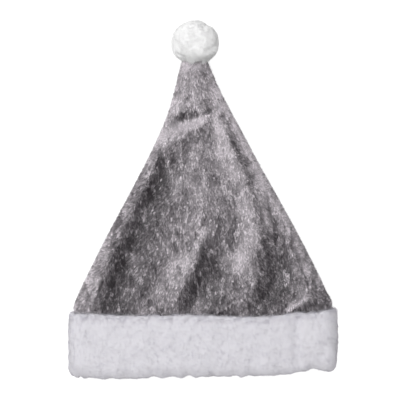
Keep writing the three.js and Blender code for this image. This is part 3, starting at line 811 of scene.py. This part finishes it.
def strand_colour_group():
    """Colour of a strand from its map: between the dull and the bright colour by the strand's tone, and
    darkened by the root's colour up to mid-length: painted shade deep in the pile."""
    group, given, result = node_group(
        "strand colour",
        [("Root shade", "NodeSocketColor"), ("Dull", "NodeSocketColor"), ("Bright", "NodeSocketColor")],
        [("Colour", "NodeSocketColor")],
    )
    uv = group.nodes.new("ShaderNodeUVMap")
    uv.uv_map = "OFBake"
    split = group.nodes.new("ShaderNodeSeparateXYZ")
    group.links.new(uv.outputs[0], split.inputs[0])
    rise = group.nodes.new("ShaderNodeMapRange")
    rise.interpolation_type = "SMOOTHSTEP"
    rise.inputs["From Min"].default_value, rise.inputs["From Max"].default_value = ROOT_REACH
    group.links.new(split.outputs[1], rise.inputs["Value"])
    whole = mix_colours(group, split.outputs[0], given.outputs["Dull"], given.outputs["Bright"])
    root = mix_colours(group, None, whole, given.outputs["Root shade"], "MULTIPLY")
    colour = mix_colours(group, rise.outputs[0], root, whole)
    group.links.new(colour, result.inputs["Colour"])
    return group


def knit_group():
    """Knitted backing: ribs along the hat crossed by rows of stitches, as a height and as a tone."""
    group, given, result = node_group(
        "knit backing",
        [
            ("Light", "NodeSocketColor"), ("Dark", "NodeSocketColor"), ("Shade", "NodeSocketColor"),
            ("Radians per metre", "NodeSocketFloat"),
        ],
        [("Colour", "NodeSocketColor"), ("Height", "NodeSocketFloat")],
    )
    place = group.nodes.new("ShaderNodeTexCoord")
    split = group.nodes.new("ShaderNodeSeparateXYZ")
    group.links.new(place.outputs["Object"], split.inputs[0])
    waves = []
    for axis in (0, 1):
        turn = math_node(group, "MULTIPLY", split.outputs[axis], given.outputs["Radians per metre"])
        waves.append(math_node(group, "SINE", turn))
    height = math_node(group, "MULTIPLY_ADD", math_node(group, "MULTIPLY", *waves), 0.5, 0.5)
    noise = group.nodes.new("ShaderNodeTexNoise")
    noise.inputs["Scale"].default_value = KNIT_NOISE
    group.links.new(place.outputs["Object"], noise.inputs["Vector"])
    tone = math_node(group, "MULTIPLY", noise.outputs[0], height)
    colour = mix_colours(group, tone, given.outputs["Dark"], given.outputs["Light"])
    colour = mix_colours(group, None, colour, given.outputs["Shade"], "MULTIPLY")
    group.links.new(colour, result.inputs["Colour"])
    group.links.new(height, result.inputs["Height"])
    return group


def new_material(name, group, colours, roughness, sheen):
    """A material whose group gives its colour, with plain values on the shader's own sockets."""
    material = bpy.data.materials.new(name)
    material.use_nodes = True
    tree = material.node_tree
    shader = tree.nodes["Principled BSDF"]
    shader.inputs["Roughness"].default_value = roughness
    shader.inputs["Sheen Weight"].default_value = sheen
    shader.inputs["Sheen Roughness"].default_value = SHEEN_ROUGHNESS
    placed = tree.nodes.new("ShaderNodeGroup")
    placed.node_tree = group
    for socket, colour in colours.items():
        placed.inputs[socket].default_value = (*colour, 1)
    tree.links.new(placed.outputs["Colour"], shader.inputs["Base Color"])
    return material, placed, shader


def pile_material(name, root, dull, bright, roughness, sheen):
    """Plush pile, with the painted shade at its roots and the colours of its dullest and brightest strands.
    """
    colours = {"Root shade": root, "Dull": dull, "Bright": bright}
    return new_material(name, STRAND_COLOUR, colours, roughness, sheen)[0]


def backing_material(name, light, dark, shade=None):
    """The knitted ground that the pile stands on. Where a shade is named, it is an attribute of the piece
    that darkens the ground."""
    colours = dict(Light=light, Dark=dark, Shade=(1, 1, 1))
    material, placed, shader = new_material(name, KNIT, colours, **GROUND_FINISH)
    if shade:
        attribute = material.node_tree.nodes.new("ShaderNodeAttribute")
        attribute.attribute_name = shade
        material.node_tree.links.new(attribute.outputs["Fac"], placed.inputs["Shade"])
    placed.inputs["Radians per metre"].default_value = 2 * pi / (STITCH * MM)
    bump = material.node_tree.nodes.new("ShaderNodeBump")
    bump.inputs["Strength"].default_value = KNIT_BUMP["strength"]
    bump.inputs["Distance"].default_value = KNIT_BUMP["depth"] * MM
    material.node_tree.links.new(placed.outputs["Height"], bump.inputs["Height"])
    material.node_tree.links.new(bump.outputs[0], shader.inputs["Normal"])
    return material


STRAND_COLOUR = strand_colour_group()
KNIT = knit_group()
# The grey pile's roots are darkened to about half, painted shade deep in the pile; the white piles' barely
grey_pile = pile_material(
    "grey plush pile",
    root=(0.55, 0.52, 0.55), dull=(0.017, 0.009, 0.015), bright=(1.0, 0.935, 0.985),
    roughness=0.45, sheen=0.15,
)
cuff_pile = pile_material(
    "white cuff pile",
    root=(0.97, 0.97, 0.98), dull=(0.64, 0.625, 0.71), bright=(0.78, 0.75, 0.785),
    roughness=0.9, sheen=0.1,
)
pompom_pile = pile_material(
    "white pompom pile",
    root=(0.98, 0.98, 0.98), dull=(0.9, 0.9, 0.9), bright=(0.99, 0.99, 0.985),
    roughness=0.9, sheen=0.1,
)
grey_backing = backing_material("grey knit backing", (0.8, 0.75, 0.79), (0.5, 0.47, 0.5), "shade")
cuff_backing = backing_material("white cuff backing", (0.76, 0.745, 0.785), (0.68, 0.67, 0.71))
pompom_backing = backing_material("white pompom backing", (0.98, 0.98, 0.98), (0.94, 0.94, 0.94))


# Pieces


def panel_mesh(name, skin, sink):
    """A sewn panel: its face moved in by sink to make room for the pile, the same face moved in by the
    backing's thickness, and narrow edges between the two."""
    normal = skin["normal"].copy()
    normal[:, [0, -1], 2] = 0
    normal[[0, -1], :, 1] = 0
    normal = unit(normal)
    outer, inner = (skin["point"] - normal * depth for depth in (sink, sink + BACKING))
    rows, columns = skin["a"].shape
    count = rows * columns
    face = grid_faces(rows, columns)
    order = np.arange(count).reshape(rows, columns)
    rim = np.r_[order[0], order[1:, -1], order[-1, -2::-1], order[-2:0:-1, 0]]
    after = np.roll(rim, -1)
    edge = np.stack([after, rim, rim + count, after + count], -1)
    points = np.r_[outer.reshape(-1, 3), inner.reshape(-1, 3)]
    return mesh_from(name, points, np.r_[face, face[:, ::-1] + count, edge])


def crown_tone_with_painted_light(places):
    """The crown's tone as the eye sees it: a level times powers of e for painted light and shade on its
    slopes, the painted marks and a slow drift. Slopes turned towards the key light get a painted highlight,
    slopes turned from it painted shade, and rims, the tip and the strip beside the cuff painted light. A tanh
    keeps the darkening under its limit."""
    x, y = places["point"][..., 0], places["point"][..., 1]
    # Painted highlight on slopes turned towards the key light, painted shade on slopes turned from it
    turned = np.tanh(CROWN_TONE_AND_PAINTED_LIGHT["steep"] * (places["normal"] @ PAINTED_LIGHT_WAY))
    nap = np.where(turned > 0, CROWN_TONE_AND_PAINTED_LIGHT["shine"], CROWN_TONE_AND_PAINTED_LIGHT["dark"]) * turned
    # Painted light on the rims, the tip and the strip beside the cuff
    rim = ease(*RIM_SLOPE, np.abs(places["normal"][..., 0])) * ease(*RIM_PLACE, np.abs(places["a"]))
    rim = np.maximum(rim, ease(*RIM_TIP, y))
    by_cuff = 1 - ease(CUFF_EDGE, CUFF_EDGE + CROWN_TONE_AND_PAINTED_LIGHT["cuff_reach"], places["b"])
    nap = nap * (1 - rim) + CROWN_TONE_AND_PAINTED_LIGHT["rim"] * rim + CROWN_TONE_AND_PAINTED_LIGHT["by_cuff"] * by_cuff
    # Painted highlights and painted shade from the marks
    marks = sum(fold_height(mark, x, y) for mark in PAINTED_LIGHT_MARKS)
    change = nap + marks + swell_height(SLOW_SHADES, x, y, SEEDS["crown_tone_with_painted_light"])
    change = np.where(change < 0, DARKEST * np.tanh(change / DARKEST), change)
    return (CROWN_TONE_AND_PAINTED_LIGHT["level"] * np.exp(change)) ** (1 / EYE)


def crown_tones(places, number, clumps, rng):
    """Tone of each crown strand: the crown's tone with its painted light and shade there, moved by its clump,
    its column and by itself in even steps of what the eye sees. The clumps' long bright tail is painted
    glints."""
    column, columns, _ = grid_clumps(places, *places["point"].T[:2], CROWN_COLUMN, rng, COLUMN_STRAY)
    speck, rib = rng.normal(size=clumps), rng.normal(size=columns)
    speck = speck + CROWN_TONES["uneven"] * (speck**2 - 1)
    seen = crown_tone_with_painted_light(places) + CROWN_TONES["clump"] * speck[number] + CROWN_TONES["column"] * rib[column]
    seen = seen + rng.normal(0, CROWN_TONES["strand"], len(seen))
    return np.clip(seen, *CROWN_TONES["limits"]) ** EYE


def crown_lay(places, number, clumps, rng):
    """The way that each crown strand lies, and its lean. The nap lies towards the cuff, stands up beside
    it and at the side seams, and turns over towards the pompom at the tip."""
    x, y = places["point"][:, 0], places["point"][:, 1]
    lay = -pi / 2 + rng.normal(0, CROWN_LAY["clump"], clumps)[number]
    lay = lay + CROWN_LAY["drift"] * drift(x, y, CROWN_LAY["size"], SEEDS["crown_lay"])
    lean = CROWN_PILE["lean"] + rng.normal(0, CROWN_LAY["lean"], clumps)[number]
    lean = lean + rng.normal(0, LEAN_STRAY, len(number))
    by_seam = ease(SEAM_STAND["start"], 1, np.abs(places["a"]))
    off_cuff = ease(CUFF_EDGE, CUFF_EDGE + CUFF_STAND["reach"], places["b"])
    by_tip = ease(TIP_END - TIP_STAND["reach"], TIP_END, places["b"])
    lean = lean * (1 - SEAM_STAND["loses"] * by_seam)
    lean = lean * (1 - CUFF_STAND["loses"] + CUFF_STAND["loses"] * off_cuff)
    return lay, lean * (1 - TIP_STAND["loses"] * by_tip)


def make_crown_panel(node, surface, grid, piles):
    """One crown panel, whose ground takes the pile's tone with its painted light and shade on its face and is
    dark inside, and its pile, shared out from left to right.
    """
    rng = np.random.default_rng(SEEDS[node])
    skin = sample(surface, np.linspace(-1, 1, grid[0]), np.linspace(TUCK_END, NECK_END, grid[1]))
    coarse = {key: values[::2, ::2] for key, values in skin.items()}
    mesh = panel_mesh(node + "_cloth", coarse, CROWN_PILE["ground"])
    # The ground's face takes the same tone, painted light and painted shade as the pile over it
    shade = np.clip(crown_tone_with_painted_light(coarse), 0, 1) ** EYE
    inside = np.full(shade.size, INSIDE_SHADE)
    mesh.attributes.new("shade", "FLOAT", "POINT").data.foreach_set("value", np.r_[shade.ravel(), inside])
    panel = add_piece(mesh.name, mesh, grey_backing)
    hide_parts(node)

    places = scatter(skin, ease(*PILE_OPEN, skin["b"]), STRANDS[node], rng)
    x, y = places["point"][:, 0], places["point"][:, 1]
    number, clumps, pull = grid_clumps(places, x, y, CROWN_PILE["clump"], rng, COLUMN_STRAY)
    lay, lean = crown_lay(places, number, clumps, rng)
    strands = lay_strands(places, CROWN_PILE, lay, lean, pull, rng)
    tones = crown_tones(places, number, clumps, rng)
    shares = np.array_split(np.argsort(x), len(piles))
    pieces = add_pile(
        piles, shares, strands, places["normal"], tones, CROWN_PILE, grey_pile, rng
    )


def white_lay(across, along, pile, lay, seed, rng):
    """The way that each strand of white pile lies, about one that drifts slowly, and its lean."""
    way = -pi / 2 + lay["drift"] * drift(across, along, lay["size"], seed)
    way = way + rng.normal(0, lay["strand"], len(across))
    return way, pile["lean"] + rng.normal(0, LEAN_STRAY, len(across))


def white_tones(across, along, tones, seed, number, clumps, rng):
    """Tone of each strand of white pile: a level that drifts slowly, moved by its clump and by itself."""
    level = tones["level"] + tones["drift"] * drift(across, along, tones["size"], seed)
    level = level + rng.normal(0, tones["clump"], clumps)[number]
    return level + rng.normal(0, tones["strand"], len(number))


def make_cuff():
    """The doubled band, and the pile on its outer face and turned-in hem, longest at the sewn edge."""
    rng = np.random.default_rng(SEEDS["cuff"])
    skin = sample(cuff_surface, *(np.linspace(0, 1, points) for points in CUFF_GRID))
    coarse = {key: values[:-1:2, :-1:2] for key, values in skin.items()}
    sunk = CUFF_PILE["ground"] * plush_cover(coarse["b"])
    points = coarse["point"] - coarse["normal"] * sunk[..., None]
    points[..., 2] = np.maximum(points[..., 2], GROUND_FLOOR)
    rows, columns = coarse["a"].shape
    mesh = mesh_from("cuff_band", points.reshape(-1, 3), grid_faces(rows, columns, True, True))
    band = add_piece("cuff_band", mesh, cuff_backing)
    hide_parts("cuff")

    density = plush_cover(skin["b"]) * np.where(skin["point"][..., 2] > CUFF_TOP, 1, BELOW_DENSITY)
    places = scatter(skin, density, STRANDS["cuff"], rng)
    across, along = unrolled(places["point"])
    number, clumps, pull = grid_clumps(places, across, along, CUFF_PILE["clump"], rng)
    lay, lean = white_lay(across, along, CUFF_PILE, CUFF_LAY, SEEDS["cuff_lay"], rng)
    roots, axes, length = lay_strands(places, CUFF_PILE, lay, lean, pull, rng)
    from_edge = np.abs(places["b"] % 1 - 0.5)
    by_edge = 1 - ease(CUFF_FRINGE["whole"], CUFF_FRINGE["ends"], from_edge)
    strands = roots, axes, length * (1 + CUFF_FRINGE["longer"] * rng.random(len(length)) * by_edge)
    tones = white_tones(across, along, CUFF_TONES, SEEDS["cuff_tones"], number, clumps, rng)
    above = places["point"][:, 2] > CUFF_TOP
    # Painted shade along the join's dent and a painted highlight beside it, on the upper run
    tones = tones + sum(fold_height(mark, *places["point"].T[:2]) for mark in CUFF_PAINTED_LIGHT_MARKS) * above
    tones = np.clip(tones, *WHITE_LIMITS)
    names = ("cuff_pile_above", "cuff_pile_below")
    sides = (above, ~above)
    add_pile(names, sides, strands, places["normal"], tones, CUFF_PILE, cuff_pile, rng)


def ball_mesh(name, skin):
    """The pompom's ground: rings about the Y axis, closed at both ends by triangles to a middle point, and
    shaded as loose as its pile."""
    points = skin["point"] - skin["normal"] * POMPOM_PILE["ground"]
    points[..., 2] = np.maximum(points[..., 2], GROUND_FLOOR)
    rows, columns = skin["a"].shape
    ends = points[[0, -1]].mean(1)
    first = np.arange(columns)
    after = np.roll(first, -1)
    last = (rows - 1) * columns
    middle = np.full(columns, rows * columns)
    near_end = np.stack([after, first, middle], -1)
    far_end = np.stack([first + last, after + last, middle + 1], -1)
    faces = [*grid_faces(rows, columns, close_columns=True).tolist(), *near_end.tolist(), *far_end.tolist()]
    mesh = bpy.data.meshes.new(name)
    mesh.from_pydata((np.r_[points.reshape(-1, 3), ends] * MM).tolist(), [], faces)
    mesh.polygons.foreach_set("use_smooth", np.ones(len(mesh.polygons), bool))
    turned = loosened(skin["normal"], POMPOM_PILE)
    ways = np.r_[turned.reshape(-1, 3), unit(turned[[0, -1]].mean(1))]
    mesh.normals_split_custom_set_from_vertices(ways.tolist())
    return mesh


def make_pompom():
    """The stuffed ball and its pile, which lies about a slowly drifting way and is longest by the seam."""
    rng = np.random.default_rng(SEEDS["pompom"])
    pole = pi / 2 - POLE_GAP
    round_points, along_points = POMPOM_GRID
    longitude = np.linspace(0, 2 * pi, round_points)
    skin = sample(pompom_surface, longitude, np.linspace(-pole, pole, along_points))
    mesh = ball_mesh("pompom_ball", {key: values[:, :-1] for key, values in skin.items()})
    ball = add_piece("pompom_ball", mesh, pompom_backing)
    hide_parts("pompom")

    places = scatter(skin, np.ones(skin["a"].shape), STRANDS["pompom"], rng)
    across, along = unrolled(places["point"])
    lay, lean = white_lay(across, along, POMPOM_PILE, POMPOM_LAY, SEEDS["pompom_lay"], rng)
    number, clumps, pull = grid_clumps(places, across, along, POMPOM_PILE["clump"], rng)
    roots, axes, length = lay_strands(places, POMPOM_PILE, lay, lean, pull, rng)
    by_seam = 1 - ease(POMPOM_FRINGE["whole"], POMPOM_FRINGE["ends"], places["b"])
    strands = roots, axes, length * (1 + POMPOM_FRINGE["longer"] * rng.random(clumps)[number] * by_seam)
    tones = white_tones(across, along, POMPOM_TONES, SEEDS["pompom_tones"], number, clumps, rng)
    tones = np.clip(tones, *WHITE_LIMITS)
    names = ("pompom_pile",)
    sides = (np.arange(len(length)),)
    add_pile(names, sides, strands, places["normal"], tones, POMPOM_PILE, pompom_pile, rng)


# Floor, light and camera

# The floor's reach and grey, and how far it is lifted towards white where the camera sees it
FLOOR = dict(reach=8000.0, grey=0.4, lift=0.85)

# The key light's place and width in metres and its watts, and the strength of the even light all round
KEY = dict(place=(-0.8, 0.6, 1.4), width=0.9, watts=13)
ROOM_LIGHT = 0.78


def make_floor():
    """A wide pale floor, which the camera sees as pure white."""
    corners = np.array([[-1, -1, 0], [1, -1, 0], [1, 1, 0], [-1, 1, 0]]) * FLOOR["reach"]
    floor = bpy.data.objects.new("floor", mesh_from("floor", corners, np.array([[0, 1, 2, 3]])))
    bpy.context.scene.collection.objects.link(floor)
    material = bpy.data.materials.new("pale floor")
    material.use_nodes = True
    shader = material.node_tree.nodes["Principled BSDF"]
    shader.inputs["Base Color"].default_value = (*[FLOOR["grey"]] * 3, 1)
    shader.inputs["Roughness"].default_value = 1
    shader.inputs["Specular IOR Level"].default_value = 0
    shader.inputs["Emission Color"].default_value = (1, 1, 1, 1)
    seen = material.node_tree.nodes.new("ShaderNodeLightPath").outputs["Is Camera Ray"]
    lifted = math_node(material.node_tree, "MULTIPLY", seen, FLOOR["lift"])
    material.node_tree.links.new(lifted, shader.inputs["Emission Strength"])
    floor.data.materials.append(material)


def make_light():
    """A large soft key light from the upper left, and weak even light all round."""
    place = Vector(KEY["place"])
    key = bpy.data.lights.new("key", "AREA")
    key.size = KEY["width"]
    key.energy = KEY["watts"]
    lamp = bpy.data.objects.new("key", key)
    lamp.location = place
    lamp.rotation_euler = (-place).to_track_quat("-Z", "Y").to_euler()
    bpy.context.scene.collection.objects.link(lamp)
    world = bpy.data.worlds.new("soft room")
    world.use_nodes = True
    background = world.node_tree.nodes["Background"]
    background.inputs["Color"].default_value = (1, 1, 1, 1)
    background.inputs["Strength"].default_value = ROOM_LIGHT
    bpy.context.scene.world = world
    bpy.context.scene.view_settings.view_transform = "Standard"


# The photograph is 400 pixels wide. Each covers this many millimetres of the hat, whose middle line
# lies at this pixel column
PICTURE = 400
PIXEL = 1.111
MIDDLE_COLUMN = 203
LENS, SENSOR = 100, 36


def make_camera():
    """Looks straight down on the hat through a long lens."""
    data = bpy.data.cameras.new("camera")
    data.lens = LENS
    data.sensor_width = SENSOR
    camera = bpy.data.objects.new("camera", data)
    distance = PICTURE * PIXEL * LENS / SENSOR
    camera.location = Vector(((PICTURE / 2 - MIDDLE_COLUMN) * PIXEL, 0, distance + CUFF_LOFT / 2)) * MM
    bpy.context.scene.collection.objects.link(camera)
    bpy.context.scene.camera = camera


make_camera()
front_piles = ("crown_front_pile_left", "crown_front_pile_right")
make_crown_panel("crown_front", front_surface, FRONT_GRID, front_piles)
make_crown_panel("crown_back", back_surface, BACK_GRID, ("crown_back_pile",))
make_cuff()
make_pompom()
make_floor()
make_light()
